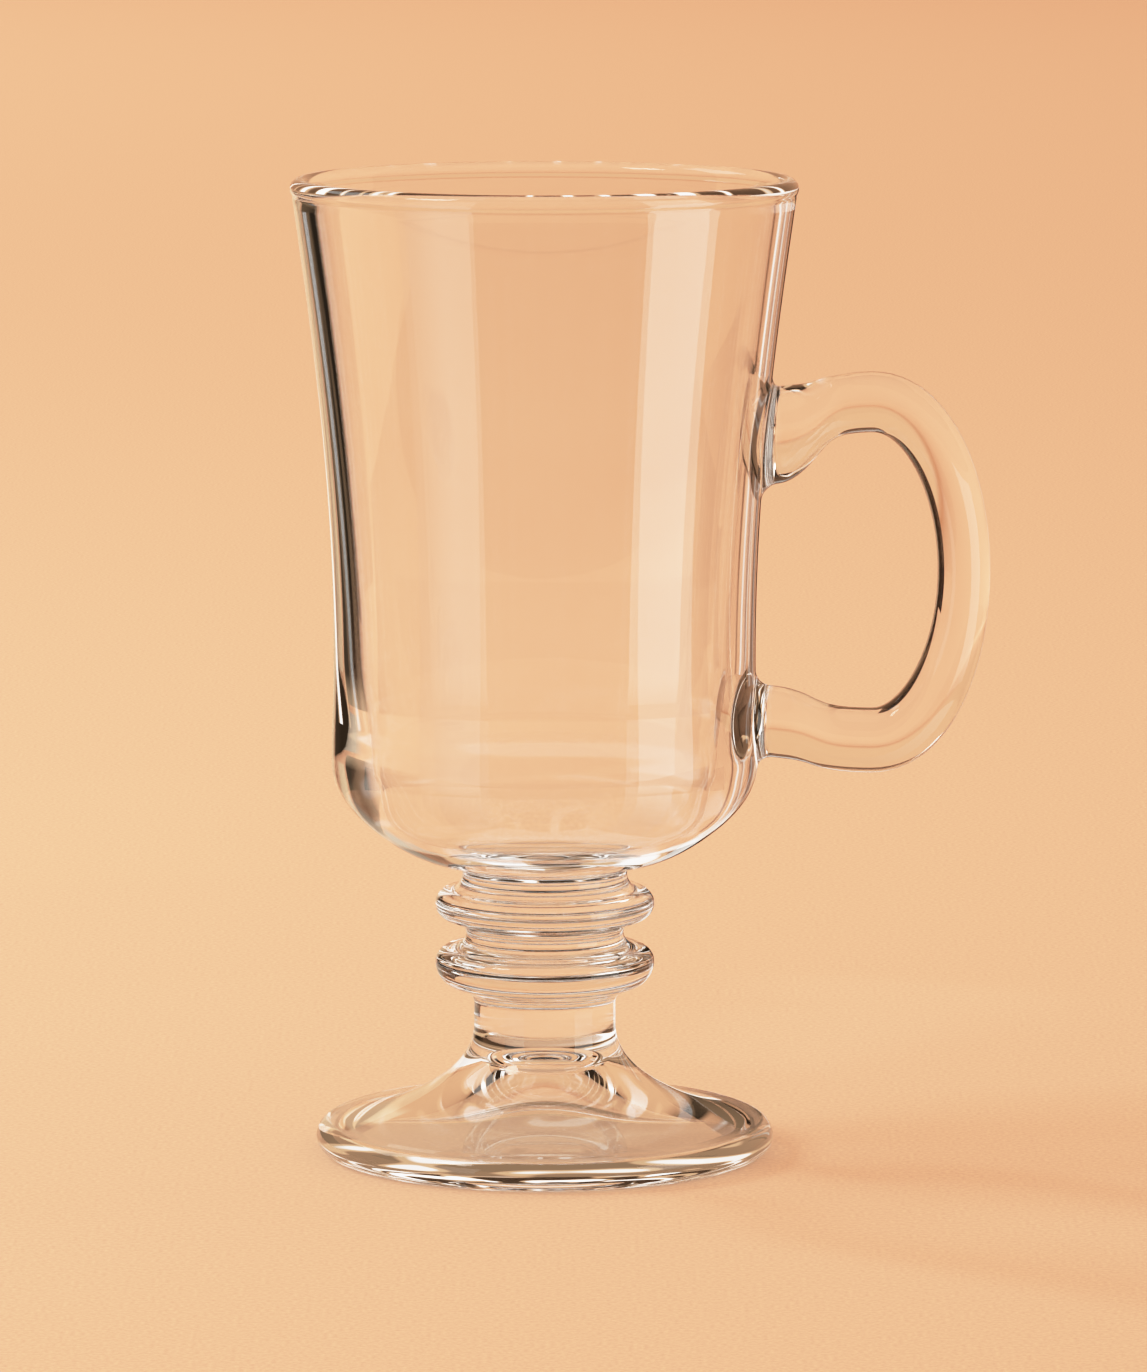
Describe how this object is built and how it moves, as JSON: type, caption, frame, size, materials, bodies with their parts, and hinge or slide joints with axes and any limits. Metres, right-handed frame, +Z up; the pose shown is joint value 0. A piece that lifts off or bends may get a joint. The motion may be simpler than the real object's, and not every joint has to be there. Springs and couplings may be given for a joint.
{
  "type": "footed glass coffee mug",
  "caption": "Clear glass coffee mug: a flared bowl on a ringed stem and a hollow round foot, with an oval loop handle. It holds a hot drink and stands on a table.",
  "frame": {"origin": "on the plane that the foot stands on, under the middle of the mug's box; the bowl's axis is 14.5 mm away on the -X side", "axes": "+Z up along the bowl's axis, +X from the bowl out to the handle, +Y away from the picture's camera"},
  "size_m": [0.105, 0.076, 0.1476],
  "materials": {
    "foot_glass": "clear pressed soda-lime glass, fire polished",
    "stem_glass": "clear pressed soda-lime glass, fire polished",
    "bowl_glass": "clear pressed soda-lime glass, fire polished",
    "handle_glass": "clear pressed soda-lime glass, fire polished"
  },
  "bodies": {
    "root": {"foot": "foot_glass", "stem": "stem_glass", "bowl": "bowl_glass", "handle": "handle_glass"}
  },
  "joints": []
}
